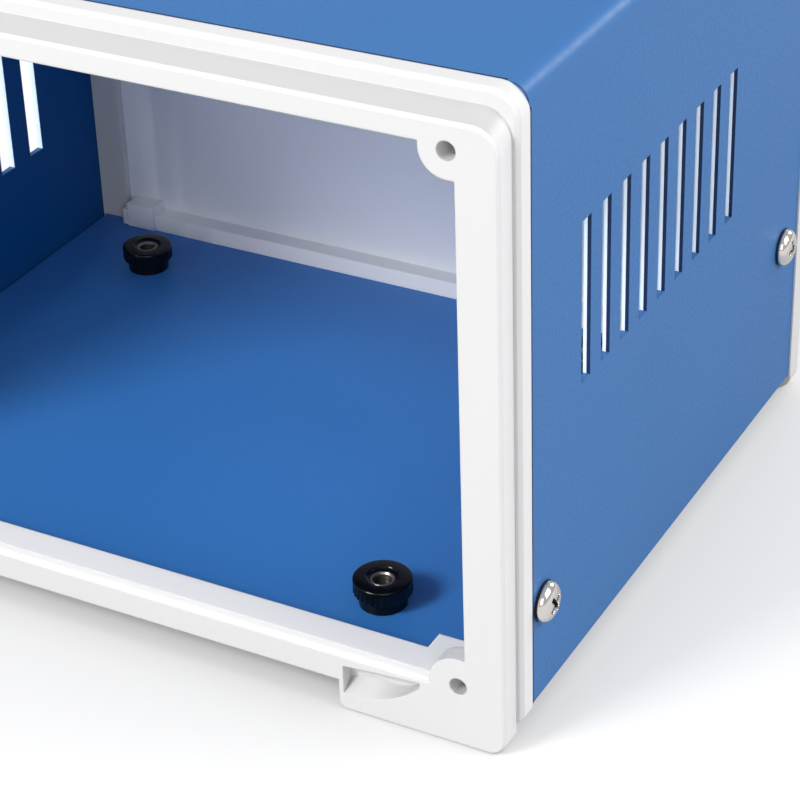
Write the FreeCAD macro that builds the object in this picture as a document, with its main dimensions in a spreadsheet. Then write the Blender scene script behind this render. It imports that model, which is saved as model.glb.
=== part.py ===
import FreeCAD, Part
import os
import Sketcher
from FreeCAD import Placement, Rotation, Vector

# Instrument enclosure: a folded sheet-steel cover over a flat floor plate, closed at each end by a
# moulded bezel that also carries the feet. The front is open and the back holds a flat panel.
# X runs across the case, Y from the open front to the back, Z up.
# The origin is on the ground in the middle of the footprint.

# Driving sizes in millimetres
driving_sizes = {
    # Case
    "case_width": 156.0,  # outside of the cover across X
    "case_height": 105.0,  # outside of the cover along Z
    "case_depth": 112.0,  # length of the cover along Y
    "sheet_thickness": 1.2,  # cover and floor plate
    "bend_radius": 2.7,  # outside of the cover's long bends
    "foot_drop": 5.5,  # ground to the underside of the cover
    # Ventilation slots: high on the right side, low on the left side
    "right_slot_width": 3.2,
    "left_slot_width": 4.2,
    "slot_length": 27.4,
    "right_slot_pitch": 7.2,
    "left_slot_pitch": 9.7,
    "slot_count": 9,
    "right_slots_front": -36.5,  # centre of the first slot of the right row
    "right_slots_low": 48.7,  # lower ends of the right row
    "left_slots_front": -42.4,  # centre of the first slot of the left row
    "left_slots_low": 24.5,  # lower ends of the left row
    # Side screws
    "front_screw_setback": 4.5,  # front edge of the cover to the screw
    "rear_screw_setback": 7.3,  # back edge of the cover to the screw
    "front_screw_level": 17.2,  # underside of the cover to the screw
    "rear_screw_level": 30.7,  # underside of the cover to the screw
    "screw_diameter": 3.0,  # thread, drawn plain
    "screw_clearance": 0.2,  # hole radius over thread radius
    "screw_head_diameter": 6.8,
    "screw_head_height": 2.2,
    "screw_reach": 4.6,  # under the head
    # Bezels, measured from their outer face
    "bezel_depth": 7.5,  # outer face to the edge of the cover
    "forward_depth": 4.0,  # outer face to the flange
    "flange_proud": 0.3,  # flange beyond the cover
    "flange_below": 1.0,  # flange under the cover
    "flange_corner": 4.4,
    "flange_edge": 0.6,  # bevel of the flange's forward edge
    "forward_inset": 0.8,  # forward ring inside the cover's side
    "forward_top_drop": 2.3,  # top of the forward ring at the flange, under the cover's top
    "forward_top_slope": 1.6,  # further fall of that top to the outer face
    "forward_corner": 4.2,
    "forward_edge": 0.4,  # bevel of the outer face's edge
    "bar_bottom": 0.2,  # underside of the lower bar
    "opening_side": 7.6,  # side of the cover to the opening
    "opening_drop": 7.4,  # top of the cover to the opening
    "front_lip_top": 6.2,
    "front_lip_reach": 6.7,  # outer face to the inner edge of the front lip
    "ledge_level": 4.8,  # top of the lower bar's proud band
    "ledge_depth": 1.2,
    "ledge_side": 13.6,  # side of the cover to the band's end
    "cavity_side": 5.0,  # side of the cover to the inner wall
    "cavity_drop": 4.7,  # top of the cover to the inner wall
    "face_thickness": 3.0,
    "plug_reach": 2.0,  # plug inside the cover
    "plug_clearance": 0.2,  # plug to the inside of the cover
    "rear_lip_top": 4.7,
    "rear_lip_reach": 9.8,
    "rear_opening_side": 7.6,
    "rear_opening_drop": 6.4,
    "locator_near_side": 15.7,  # side of the cover to the rear corner block's nearer side
    "locator_far_side": 9.2,  # side of the cover to its farther side
    "locator_top": 6.4,
    "locator_reach": 10.2,
    # Panel fixings in the bezel corners
    "panel_hole_side": 8.8,  # side of the cover to the holes
    "panel_hole_low": 5.9,
    "panel_hole_drop": 8.2,  # top of the cover to the upper holes
    "panel_hole_diameter": 3.0,
    "panel_hole_depth": 9.0,
    "upper_lobe_radius": 4.4,
    "lower_lobe_radius": 5.1,
    "lobe_length": 3.4,
    "boss_radius": 2.9,  # wall of the hole behind the lobe
    "boss_length": 10.0,
    "block_side": 17.5,  # side of the cover to the corner block's inner side
    "block_reach": 10.6,
    # Feet
    "foot_length": 30.4,  # side of the cover to the toe end of each foot
    "foot_corner": 3.0,
    "toe_top": -2.1,
    "scoop_start_side": 29.3,  # side of the cover to the recess's end over the toe
    "scoop_end_side": 15.6,  # side of the cover to its other end
    "scoop_depth": 2.4,
    "scoop_roof": 3.1,  # top of the recess over the toe
    "scoop_roof_rise": 1.1,  # climb of that top towards the corner
    # Front bezel tongues and the floor plate's ear, which the side screws hold
    "tongue_thickness": 3.6,
    "tongue_half_width": 4.5,
    "tongue_half_height": 4.6,
    "groove_depth": 2.5,  # floor plate's end inside the bezel
    "plate_gap": 0.8,  # floor plate's edge to the cover's side
    "ear_gap": 0.1,  # ear to the cover's side
    "ear_half_width": 4.5,
    "ear_over_screw": 4.6,  # top of an ear above its screw
    # Rear panel
    "panel_thickness": 2.0,
    "panel_side": 4.0,  # side of the cover to the panel
    "panel_low": 1.9,
    "panel_drop": 5.3,  # top of the cover to the panel
    "panel_clearance": 0.1,
    "panel_recess": 4.0,  # outer face of the bezel to the panel
    # Thumb nuts on the floor plate
    "nut_centre_across": -4.9,  # middle of the pattern along X
    "nut_centre_along": -1.8,  # middle of the pattern along Y
    "nut_spacing_across": 99.6,
    "nut_spacing_along": 82.6,
    "head_diameter": 10.0,
    "head_height": 2.9,
    "collar_diameter": 8.2,
    "collar_height": 2.2,
    "knurl_count": 20,  # ridges round the head
    "knurl_depth": 0.3,
    "insert_diameter": 4.2,
    "insert_drop": 0.4,  # top of the bushing below the head's top
    "insert_bore": 3.1,
    "stud_diameter": 3.0,
    "stud_short": 1.6,  # end of the stud below the head's top
}

document = FreeCAD.newDocument("instrument_enclosure")
sizes = document.addObject("Spreadsheet::Sheet", "Sizes")
for row, (name, number) in enumerate(driving_sizes.items(), start=1):
    sizes.set("A%d" % row, name)
    sizes.set("B%d" % row, "%.10g" % number)
    sizes.setAlias("B%d" % row, name)

# Half widths and heights worked out from the driving sizes
derived_places = {
    "opening_half_width": "Sizes.case_width / 2 - Sizes.opening_side",
    "opening_top": "Sizes.case_height - Sizes.opening_drop",
    "ledge_half_length": "Sizes.case_width / 2 - Sizes.ledge_side",
    "cavity_half_width": "Sizes.case_width / 2 - Sizes.cavity_side",
    "cavity_top": "Sizes.case_height - Sizes.cavity_drop",
    "rear_opening_half_width": "Sizes.case_width / 2 - Sizes.rear_opening_side",
    "rear_opening_top": "Sizes.case_height - Sizes.rear_opening_drop",
    "locator_inner": "Sizes.case_width / 2 - Sizes.locator_near_side",
    "locator_outer": "Sizes.case_width / 2 - Sizes.locator_far_side",
    "panel_hole_half_width": "Sizes.case_width / 2 - Sizes.panel_hole_side",
    "panel_hole_high": "Sizes.case_height - Sizes.panel_hole_drop",
    "block_inner": "Sizes.case_width / 2 - Sizes.block_side",
    "foot_inner": "Sizes.case_width / 2 - Sizes.foot_length",
    "scoop_start": "Sizes.case_width / 2 - Sizes.scoop_start_side",
    "scoop_end": "Sizes.case_width / 2 - Sizes.scoop_end_side",
    "panel_half_width": "Sizes.case_width / 2 - Sizes.panel_side",
    "panel_high": "Sizes.case_height - Sizes.panel_drop",
}

places = document.addObject("Spreadsheet::Sheet", "Places")
for row, (name, expression) in enumerate(derived_places.items(), start=1):
    places.set("A%d" % row, name)
    places.set("B%d" % row, "=" + expression)
    places.setAlias("B%d" % row, name)
document.recompute()


def value(expression):
    """Number that an expression on the sheet stands for."""
    return float(sizes.evalExpression(expression))


half_width = "Sizes.case_width / 2"
half_depth = "Sizes.case_depth / 2"
inner_half_width = "(Sizes.case_width / 2 - Sizes.sheet_thickness)"
plug_half_width = "(Sizes.case_width / 2 - Sizes.sheet_thickness - Sizes.plug_clearance)"


def new_body(name):
    """Makes a body whose label names its file."""
    body = document.addObject("PartDesign::Body", name)
    body.Label = name
    return body


def origin_plane(body, role):
    """One of the body's own origin planes."""
    for feature in body.Origin.OriginFeatures:
        if feature.Role == role:
            return feature
    raise ValueError(role)


def new_sketch(body, name, role, offset="0"):
    """Sketch on an origin plane, moved along its normal by an expression."""
    sketch = body.newObject("Sketcher::SketchObject", name)
    sketch.AttachmentSupport = [(origin_plane(body, role), "")]
    sketch.MapMode = "FlatFace"
    sketch.AttachmentOffset = Placement(Vector(0, 0, value(offset)), Rotation())
    if offset != "0":
        sketch.setExpression("AttachmentOffset.Base.z", offset)
    return sketch


def pin_point(sketch, geometry, point, across, up):
    """Fixes a point of the sketch by an expression along each axis; None leaves one free."""
    for kind, expression, axis in (("DistanceX", across, -2), ("DistanceY", up, -1)):
        if expression is None:
            continue
        distance = value(expression)
        if abs(distance) < 1e-9:
            sketch.addConstraint(Sketcher.Constraint("PointOnObject", geometry, point, axis))
            continue
        index = sketch.addConstraint(Sketcher.Constraint(kind, -1, 1, geometry, point, distance))
        sketch.setExpression("Constraints[%d]" % index, expression)


def draw_outline(sketch, points):
    """Closed outline of straight lines through points given as pairs of expressions."""
    numbers = [Vector(value(across), value(up), 0) for across, up in points]
    first = sketch.GeometryCount
    for index in range(len(points)):
        sketch.addGeometry(Part.LineSegment(numbers[index], numbers[(index + 1) % len(points)]), False)
    for index in range(len(points)):
        following = (index + 1) % len(points)
        sketch.addConstraint(Sketcher.Constraint("Coincident", first + index, 2, first + following, 1))
    for index, (across, up) in enumerate(points):
        pin_point(sketch, first + index, 1, across, up)


def draw_rectangle(sketch, left, right, low, high):
    """Upright rectangle between four expressions."""
    draw_outline(sketch, [(left, low), (right, low), (right, high), (left, high)])


def draw_circle(sketch, across, up, radius):
    """Circle at a pair of expressions."""
    centre = Vector(value(across), value(up), 0)
    index = sketch.addGeometry(Part.Circle(centre, Vector(0, 0, 1), value(radius)), False)
    pin_point(sketch, index, 3, across, up)
    constraint = sketch.addConstraint(Sketcher.Constraint("Radius", index, value(radius)))
    sketch.setExpression("Constraints[%d]" % constraint, radius)


def settle(feature):
    """Recomputes and stops at a feature that failed."""
    document.recompute()
    if "Invalid" in feature.State or feature.Shape.isNull() or not feature.Shape.isValid():
        raise RuntimeError(feature.Name + " failed")
    return feature


def add_pad(body, name, sketch, length, backwards=False):
    """Pads a sketch by an expression."""
    pad = body.newObject("PartDesign::Pad", name)
    pad.Profile = sketch
    pad.Reversed = backwards
    pad.setExpression("Length", length)
    return settle(pad)


def add_pocket(body, name, sketch, length, backwards=False):
    """Cuts a sketch by an expression and checks that it removed material."""
    before = body.Shape.Volume
    pocket = body.newObject("PartDesign::Pocket", name)
    pocket.Profile = sketch
    pocket.Reversed = backwards
    pocket.setExpression("Length", length)
    settle(pocket)
    if body.Shape.Volume > before - 1e-6:
        raise RuntimeError(body.Label + ": " + name + " cut nothing")
    return pocket


def edges_where(shape, test):
    """Names of the edges whose bounding box and middle pass a test."""
    names = []
    for index, edge in enumerate(shape.Edges):
        if test(edge, edge.BoundBox, edge.CenterOfMass):
            names.append("Edge%d" % (index + 1))
    return names


def dress(body, kind, name, test, expression, driven):
    """Rounds or bevels the edges of the body's tip that pass a test."""
    base = body.Tip
    names = edges_where(base.Shape, test)
    if not names:
        raise RuntimeError(body.Label + ": " + name + " found no edge")
    feature = body.newObject("PartDesign::" + kind, name)
    feature.Base = (base, names)
    feature.setExpression(driven, expression)
    return settle(feature)


def add_fillet(body, name, test, radius):
    """Rounds edges by an expression."""
    return dress(body, "Fillet", name, test, radius, "Radius")


def add_chamfer(body, name, test, width):
    """Bevels edges by an expression."""
    return dress(body, "Chamfer", name, test, width, "Size")


def runs_along(box, axis):
    """True where a bounding box is long along one axis only."""
    lengths = {"X": box.XLength, "Y": box.YLength, "Z": box.ZLength}
    others = [lengths[key] for key in lengths if key != axis]
    return lengths[axis] > 0.05 and max(others) < 1e-4


def make_cover():
    """Sheet folded over the top and both sides, with the slots and the side screw holes."""
    body = new_body("case_cover")
    outline = new_sketch(body, "cover_outline", "XZ_Plane", half_depth)
    draw_outline(outline, [
        ("-" + half_width, "0"),
        ("-" + half_width, "Sizes.case_height"),
        (half_width, "Sizes.case_height"),
        (half_width, "0"),
        (inner_half_width, "0"),
        (inner_half_width, "Sizes.case_height - Sizes.sheet_thickness"),
        ("-" + inner_half_width, "Sizes.case_height - Sizes.sheet_thickness"),
        ("-" + inner_half_width, "0"),
    ])
    add_pad(body, "cover_sheet", outline, "Sizes.case_depth", True)
    top = value("Sizes.case_height")
    inner_top = value("Sizes.case_height - Sizes.sheet_thickness")
    add_fillet(body, "outer_bends", lambda e, b, c: runs_along(b, "Y") and abs(c.z - top) < 1e-4,
               "Sizes.bend_radius")
    add_fillet(body, "inner_bends", lambda e, b, c: runs_along(b, "Y") and abs(c.z - inner_top) < 1e-4,
               "Sizes.bend_radius - Sizes.sheet_thickness")
    for side, sign in (("right", 1), ("left", -1)):
        sketch = new_sketch(body, side + "_slot_outline", "YZ_Plane",
                            "%d * (Sizes.case_width / 2 + 1)" % sign)
        front = "(Sizes.%s_slots_front" % side
        low = "Sizes.%s_slots_low" % side
        half_slot = "Sizes.%s_slot_width / 2)" % side
        draw_rectangle(sketch, front + " - " + half_slot, front + " + " + half_slot,
                       low, "(" + low + " + Sizes.slot_length)")
        slot = add_pocket(body, side + "_slot", sketch, "Sizes.sheet_thickness + 2", sign < 0)
        pattern = body.newObject("PartDesign::LinearPattern", side + "_slots")
        pattern.Originals = [slot]
        pattern.Direction = (origin_plane(body, "Y_Axis"), [""])
        pattern.setExpression("Length", "Sizes.%s_slot_pitch * (Sizes.slot_count - 1)" % side)
        pattern.setExpression("Occurrences", "Sizes.slot_count")
        body.Tip = pattern
        document.recompute()
    for name, sign, along, level in side_screw_spots():
        hole = new_sketch(body, name + "_hole_outline", "YZ_Plane", "%d * (Sizes.case_width / 2 + 1)" % sign)
        draw_circle(hole, along, level, "Sizes.screw_diameter / 2 + Sizes.screw_clearance")
        add_pocket(body, name + "_hole", hole, "Sizes.sheet_thickness + 2", sign < 0)
    return body


def side_screw_spots():
    """Name, side, position along Y and level of each side screw; the left rear has none."""
    front = ("(Sizes.front_screw_setback - Sizes.case_depth / 2)", "Sizes.front_screw_level")
    rear = ("(Sizes.case_depth / 2 - Sizes.rear_screw_setback)", "Sizes.rear_screw_level")
    return [
        ("front_right", 1) + front,
        ("front_left", -1) + front,
        ("rear_right", 1) + rear,
    ]


def nut_places():
    """Name and centre of each thumb nut."""
    places = []
    for along_name, along_sign in (("front", "-"), ("rear", "+")):
        for across_name, across_sign in (("left", "-"), ("right", "+")):
            across = "(Sizes.nut_centre_across %s Sizes.nut_spacing_across / 2)" % across_sign
            along = "(Sizes.nut_centre_along %s Sizes.nut_spacing_along / 2)" % along_sign
            places.append((along_name + "_" + across_name, across, along))
    return places


def make_floor_plate():
    """Flat plate whose ends slide into the bezels, with an ear folded up for the rear side screw."""
    body = new_body("floor_plate")
    outline = new_sketch(body, "plate_outline", "XY_Plane")
    edge = "(Sizes.case_width / 2 - Sizes.sheet_thickness - Sizes.plate_gap)"
    end = "(Sizes.case_depth / 2 + Sizes.groove_depth)"
    draw_rectangle(outline, "-" + edge, edge, "-" + end, end)
    add_pad(body, "plate", outline, "Sizes.sheet_thickness")
    along, level = side_screw_spots()[-1][2:]
    ear_outer = "(Sizes.case_width / 2 - Sizes.sheet_thickness - Sizes.ear_gap)"
    ear_inner = "(" + ear_outer + " - Sizes.sheet_thickness)"
    ear = new_sketch(body, "ear_outline", "XY_Plane")
    draw_rectangle(ear, ear_inner, ear_outer,
                   "(" + along + " - Sizes.ear_half_width)", "(" + along + " + Sizes.ear_half_width)")
    add_pad(body, "ear", ear, level + " + Sizes.ear_over_screw")
    bend_x = value(ear_inner)
    bend_z = value("Sizes.sheet_thickness")
    add_fillet(body, "ear_inner_bend",
               lambda e, b, c: runs_along(b, "Y") and abs(c.x - bend_x) < 1e-4 and abs(c.z - bend_z) < 1e-4,
               "Sizes.sheet_thickness / 2")
    ear_top = value(level + " + Sizes.ear_over_screw")
    add_chamfer(body, "ear_corners",
                lambda e, b, c: runs_along(b, "X") and abs(c.z - ear_top) < 1e-4, "Sizes.ear_half_width / 2")
    hole = new_sketch(body, "ear_hole_outline", "YZ_Plane", half_width)
    draw_circle(hole, along, level, "Sizes.screw_diameter / 2 + Sizes.screw_clearance")
    add_pocket(body, "ear_hole", hole, half_width)
    return body


def draw_lobe(sketch, sign, high):
    """Quarter-round lobe about a panel hole, square towards the frame."""
    hole_x = "%d * Places.panel_hole_half_width" % sign
    hole_z = "Places.panel_hole_high" if high else "Sizes.panel_hole_low"
    radius = "Sizes.upper_lobe_radius" if high else "Sizes.lower_lobe_radius"
    centre = Vector(value(hole_x), value(hole_z), 0)
    size_now = value(radius)
    inward = -sign
    down = -1 if high else 1
    side_angle = 180 if inward < 0 else 0
    end_angle = 90 * down
    start, stop = sorted((side_angle, end_angle)) if side_angle == 0 or down > 0 else (180, 270)
    arc = Part.ArcOfCircle(Part.Circle(centre, Vector(0, 0, 1), size_now),
                           start * 3.141592653589793 / 180, stop * 3.141592653589793 / 180)
    first = sketch.addGeometry(arc, False)
    side_is_start = abs(start % 360 - side_angle % 360) < 1e-6
    side_point, end_point = (1, 2) if side_is_start else (2, 1)
    pin_point(sketch, first, 3, hole_x, hole_z)
    index = sketch.addConstraint(Sketcher.Constraint("Radius", first, size_now))
    sketch.setExpression("Constraints[%d]" % index, radius)
    sketch.addConstraint(Sketcher.Constraint("Horizontal", first, 3, first, side_point))
    sketch.addConstraint(Sketcher.Constraint("Vertical", first, 3, first, end_point))
    back_x = "%d * (Places.opening_half_width + 0.6)" % sign
    back_z = "(Places.opening_top + 0.6)" if high else "(Sizes.front_lip_top - 3)"
    side = Vector(value(hole_x) + inward * size_now, value(hole_z), 0)
    side_back = Vector(side.x, value(back_z), 0)
    corner = Vector(value(back_x), value(back_z), 0)
    end_back = Vector(value(back_x), value(hole_z) + down * size_now, 0)
    end = Vector(value(hole_x), value(hole_z) + down * size_now, 0)
    lines = [sketch.addGeometry(Part.LineSegment(a, b), False) for a, b in
             ((side, side_back), (side_back, corner), (corner, end_back), (end_back, end))]
    sketch.addConstraint(Sketcher.Constraint("Coincident", first, side_point, lines[0], 1))
    for a, b in zip(lines, lines[1:]):
        sketch.addConstraint(Sketcher.Constraint("Coincident", a, 2, b, 1))
    sketch.addConstraint(Sketcher.Constraint("Coincident", lines[3], 2, first, end_point))
    sketch.addConstraint(Sketcher.Constraint("Vertical", lines[0]))
    sketch.addConstraint(Sketcher.Constraint("Horizontal", lines[1]))
    sketch.addConstraint(Sketcher.Constraint("Vertical", lines[2]))
    sketch.addConstraint(Sketcher.Constraint("Horizontal", lines[3]))
    pin_point(sketch, lines[1], 2, back_x, back_z)


def make_bezel(name, rear):
    """Moulded end frame with its feet, corner bosses, plug and screw tongues.

    The outer face is at Y = 0 and the cover lies towards +Y.
    """
    body = new_body(name)
    flange_half = "(Sizes.case_width / 2 + Sizes.flange_proud)"
    flange_top = "(Sizes.case_height + Sizes.flange_proud)"
    side = "(Sizes.case_width / 2 - Sizes.forward_inset)"
    top = "(Sizes.case_height - Sizes.forward_top_drop)"
    foot = "-Sizes.foot_drop"
    forward = new_sketch(body, name + "_forward_outline", "XZ_Plane", "-Sizes.forward_depth")
    draw_outline(forward, [
        (side, foot),
        (side, top),
        ("-" + side, top),
        ("-" + side, foot),
        ("-Places.foot_inner", foot),
        ("-Places.foot_inner", "Sizes.bar_bottom"),
        ("Places.foot_inner", "Sizes.bar_bottom"),
        ("Places.foot_inner", foot),
    ])
    add_pad(body, name + "_forward", forward, "Sizes.forward_depth")
    side_x = value(side)
    foot_z = value(foot)
    ring_z = value(top)
    toe_x = value("Places.foot_inner")
    slope = new_sketch(body, name + "_slope_outline", "YZ_Plane", half_width)
    draw_outline(slope, [
        ("-1", "(%s - Sizes.forward_top_slope * (1 + 1 / Sizes.forward_depth))" % top),
        ("Sizes.forward_depth", top),
        ("Sizes.forward_depth", "(%s + 1)" % top),
        ("-1", "(%s + 1)" % top),
    ])
    add_pocket(body, name + "_slope", slope, "Sizes.case_width")
    add_fillet(body, name + "_foot_corners",
               lambda e, b, c: runs_along(b, "Y") and abs(c.z - foot_z) < 1e-3
               and abs(abs(c.x) - side_x) < 1e-3,
               "Sizes.foot_corner")
    add_fillet(body, name + "_toe_ends",
               lambda e, b, c: runs_along(b, "Y") and abs(c.z - foot_z) < 1e-3
               and abs(abs(c.x) - toe_x) < 1e-3,
               "Sizes.foot_corner / 2")

    flange = new_sketch(body, name + "_flange_outline", "XZ_Plane", "-Sizes.forward_depth")
    draw_rectangle(flange, "-" + flange_half, flange_half, "-Sizes.flange_below", flange_top)
    add_pad(body, name + "_flange", flange, "Sizes.bezel_depth - Sizes.forward_depth", True)
    top_z = value(flange_top)
    low_z = value("-Sizes.flange_below")
    front_y = value("Sizes.forward_depth")
    flange_x = value(flange_half)
    add_fillet(body, name + "_flange_corners",
               lambda e, b, c: runs_along(b, "Y") and abs(c.z - top_z) < 1e-4, "Sizes.flange_corner")
    add_chamfer(body, name + "_flange_low_corners",
                lambda e, b, c: runs_along(b, "Y") and abs(c.z - low_z) < 1e-4, "Sizes.flange_below * 0.8")
    add_chamfer(body, name + "_flange_edge",
                lambda e, b, c: b.YLength < 1e-4 and abs(c.y - front_y) < 1e-4 and c.z > 5
                and (max(b.XMax, -b.XMin) > flange_x - 1e-3 or b.ZMax > top_z - 1e-3),
                "Sizes.flange_edge")

    plug = new_sketch(body, name + "_plug_outline", "XZ_Plane", "-Sizes.forward_depth")
    plug_top = "(Sizes.case_height - Sizes.sheet_thickness - Sizes.plug_clearance)"
    shoulder = "(%s - Sizes.bend_radius)" % plug_half_width
    draw_outline(plug, [
        ("-" + plug_half_width, "Sizes.sheet_thickness"),
        (plug_half_width, "Sizes.sheet_thickness"),
        (plug_half_width, "(%s - Sizes.bend_radius)" % plug_top),
        (shoulder, plug_top),
        ("-" + shoulder, plug_top),
        ("-" + plug_half_width, "(%s - Sizes.bend_radius)" % plug_top),
    ])
    add_pad(body, name + "_plug", plug, "Sizes.bezel_depth - Sizes.forward_depth + Sizes.plug_reach", True)
    if rear:
        shape_rear_frame(body, name)
    else:
        shape_front_frame(body, name)

    groove = new_sketch(body, name + "_groove_outline", "XZ_Plane",
                        "-(Sizes.bezel_depth - Sizes.groove_depth)")
    draw_rectangle(groove, "-" + inner_half_width, inner_half_width, "0", "Sizes.sheet_thickness")
    add_pocket(body, name + "_groove", groove, "Sizes.groove_depth + Sizes.plug_reach + 2")

    if not rear:
        side_holes = new_sketch(body, name + "_side_hole_outline", "YZ_Plane", half_width)
        draw_circle(side_holes, "(Sizes.bezel_depth + Sizes.front_screw_setback)", "Sizes.front_screw_level",
                    "Sizes.screw_diameter / 2 + Sizes.screw_clearance")
        add_pocket(body, name + "_side_holes", side_holes, "Sizes.case_width")

    low_ring_z = value("(%s - Sizes.forward_top_slope)" % top)
    add_fillet(body, name + "_forward_corners",
               lambda e, b, c: b.XLength < 1e-3 and abs(abs(c.x) - side_x) < 1e-3
               and low_ring_z < c.z < ring_z,
               "Sizes.forward_corner")
    add_chamfer(body, name + "_face_edge",
                lambda e, b, c: b.YLength < 1e-4 and abs(c.y) < 1e-4
                and (max(b.XMax, -b.XMin) > side_x - 1e-3 or b.ZMax > low_ring_z - 1e-3
                     or b.ZMax < foot_z + 1e-3),
                "Sizes.forward_edge")
    return body


def shape_front_frame(body, name):
    """Opening, lip, finger recesses, corner lobes with their screw holes, blocks and tongues."""
    through = "Sizes.bezel_depth + Sizes.plug_reach + 2"
    opening = new_sketch(body, name + "_opening_outline", "XZ_Plane", "1")
    draw_rectangle(opening, "-Places.opening_half_width", "Places.opening_half_width",
                   "Sizes.front_lip_top", "Places.opening_top")
    add_pocket(body, name + "_opening", opening, through)
    cavity = new_sketch(body, name + "_cavity_outline", "XZ_Plane", "-Sizes.face_thickness")
    draw_rectangle(cavity, "-Places.cavity_half_width", "Places.cavity_half_width",
                   "Sizes.front_lip_top", "Places.cavity_top")
    add_pocket(body, name + "_cavity", cavity, through)
    relief = new_sketch(body, name + "_lip_relief", "XZ_Plane", "-Sizes.front_lip_reach")
    draw_rectangle(relief, "-(Places.block_inner + 1)", "(Places.block_inner + 1)",
                   "Sizes.sheet_thickness", "Sizes.front_lip_top + 1")
    add_pocket(body, name + "_lip_end", relief, through)
    ledge = new_sketch(body, name + "_ledge_outline", "XZ_Plane", "1")
    draw_rectangle(ledge, "-Places.ledge_half_length", "Places.ledge_half_length",
                   "Sizes.ledge_level", "Sizes.front_lip_top + 1")
    add_pocket(body, name + "_ledge", ledge, "Sizes.ledge_depth + 1")
    for sign, label in ((1, "right"), (-1, "left")):
        make_scoop(body, name + "_" + label, sign)

    lobes = new_sketch(body, name + "_lobe_outline", "XZ_Plane")
    for sign in (1, -1):
        for high in (True, False):
            draw_lobe(lobes, sign, high)
    add_pad(body, name + "_lobes", lobes, "Sizes.lobe_length", True)
    bosses = new_sketch(body, name + "_boss_outline", "XZ_Plane", "-Sizes.face_thickness")
    blocks = new_sketch(body, name + "_block_outline", "XZ_Plane", "-Sizes.face_thickness")
    for sign in ("", "-"):
        for hole_z in ("Sizes.panel_hole_low", "Places.panel_hole_high"):
            draw_circle(bosses, sign + "Places.panel_hole_half_width", hole_z, "Sizes.boss_radius")
        draw_rectangle(blocks, sign + "Places.block_inner", sign + "(Places.cavity_half_width + 0.5)",
                       "Sizes.sheet_thickness", "Sizes.front_lip_top")
    add_pad(body, name + "_blocks", blocks, "Sizes.block_reach - Sizes.face_thickness", True)
    add_pad(body, name + "_bosses", bosses, "Sizes.boss_length - Sizes.face_thickness", True)

    tongues = new_sketch(body, name + "_tongue_outline", "XZ_Plane", "-Sizes.bezel_depth")
    level = "Sizes.front_screw_level"
    for sign in ("", "-"):
        draw_rectangle(tongues, sign + plug_half_width,
                       sign + "(" + plug_half_width + " - Sizes.tongue_thickness)",
                       "(" + level + " - Sizes.tongue_half_height)",
                       "(" + level + " + Sizes.tongue_half_height)")
    add_pad(body, name + "_tongues", tongues, "Sizes.front_screw_setback + Sizes.tongue_half_width", True)

    panel_holes = new_sketch(body, name + "_panel_hole_outline", "XZ_Plane", "1")
    for sign in ("", "-"):
        for hole_z in ("Sizes.panel_hole_low", "Places.panel_hole_high"):
            draw_circle(panel_holes, sign + "Places.panel_hole_half_width", hole_z,
                        "Sizes.panel_hole_diameter / 2")
    add_pocket(body, name + "_panel_holes", panel_holes, "Sizes.panel_hole_depth + 1")


def shape_rear_frame(body, name):
    """Opening, rebate for the panel, low lip with two locating blocks; the plug stays only at the top."""
    through = "Sizes.bezel_depth + Sizes.plug_reach + 2"
    opening = new_sketch(body, name + "_opening_outline", "XZ_Plane", "1")
    draw_rectangle(opening, "-Places.rear_opening_half_width", "Places.rear_opening_half_width",
                   "Sizes.rear_lip_top", "Places.rear_opening_top")
    add_pocket(body, name + "_opening", opening, through)
    sides = new_sketch(body, name + "_side_relief", "XZ_Plane", "-Sizes.bezel_depth")
    for sign in ("", "-"):
        draw_rectangle(sides, sign + "(Places.rear_opening_half_width - 1)", sign + half_width,
                       "Sizes.sheet_thickness", "Places.rear_opening_top")
    add_pocket(body, name + "_open_sides", sides, "Sizes.plug_reach + 1")
    lip = new_sketch(body, name + "_lip_outline", "XZ_Plane", "-Sizes.forward_depth")
    draw_rectangle(lip, "-Places.rear_opening_half_width", "Places.rear_opening_half_width",
                   "Sizes.sheet_thickness", "Sizes.rear_lip_top")
    add_pad(body, name + "_lip", lip, "Sizes.rear_lip_reach - Sizes.forward_depth", True)
    locators = new_sketch(body, name + "_locator_outline", "XZ_Plane", "-Sizes.forward_depth")
    for sign in ("", "-"):
        draw_rectangle(locators, sign + "Places.locator_inner", sign + "Places.locator_outer",
                       "Sizes.sheet_thickness", "Sizes.locator_top")
    add_pad(body, name + "_locators", locators, "Sizes.locator_reach - Sizes.forward_depth", True)
    rebate = new_sketch(body, name + "_rebate_outline", "XZ_Plane", "1")
    draw_rectangle(rebate, "-(Places.panel_half_width + Sizes.panel_clearance)",
                   "(Places.panel_half_width + Sizes.panel_clearance)",
                   "(Sizes.panel_low - Sizes.panel_clearance)",
                   "(Places.panel_high + Sizes.panel_clearance)")
    add_pocket(body, name + "_rebate", rebate, "Sizes.panel_recess + Sizes.panel_thickness + 1")


def draw_recess(sketch, sign, low_points):
    """Recess outline with a curved floor through points and a straight, climbing roof."""
    floor = [Vector(sign * x, z, 0) for x, z in low_points]
    curve = Part.BSplineCurve()
    curve.interpolate(floor)
    roof = value("Sizes.scoop_roof")
    rise = value("Sizes.scoop_roof_rise")
    near = Vector(floor[0].x, roof, 0)
    far = Vector(floor[-1].x, roof + rise, 0)
    sketch.addGeometry([curve, Part.LineSegment(floor[-1], far), Part.LineSegment(far, near),
                        Part.LineSegment(near, floor[0])], False)
    for index in range(4):
        sketch.addConstraint(Sketcher.Constraint("Coincident", index, 2, (index + 1) % 4, 1))


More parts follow.
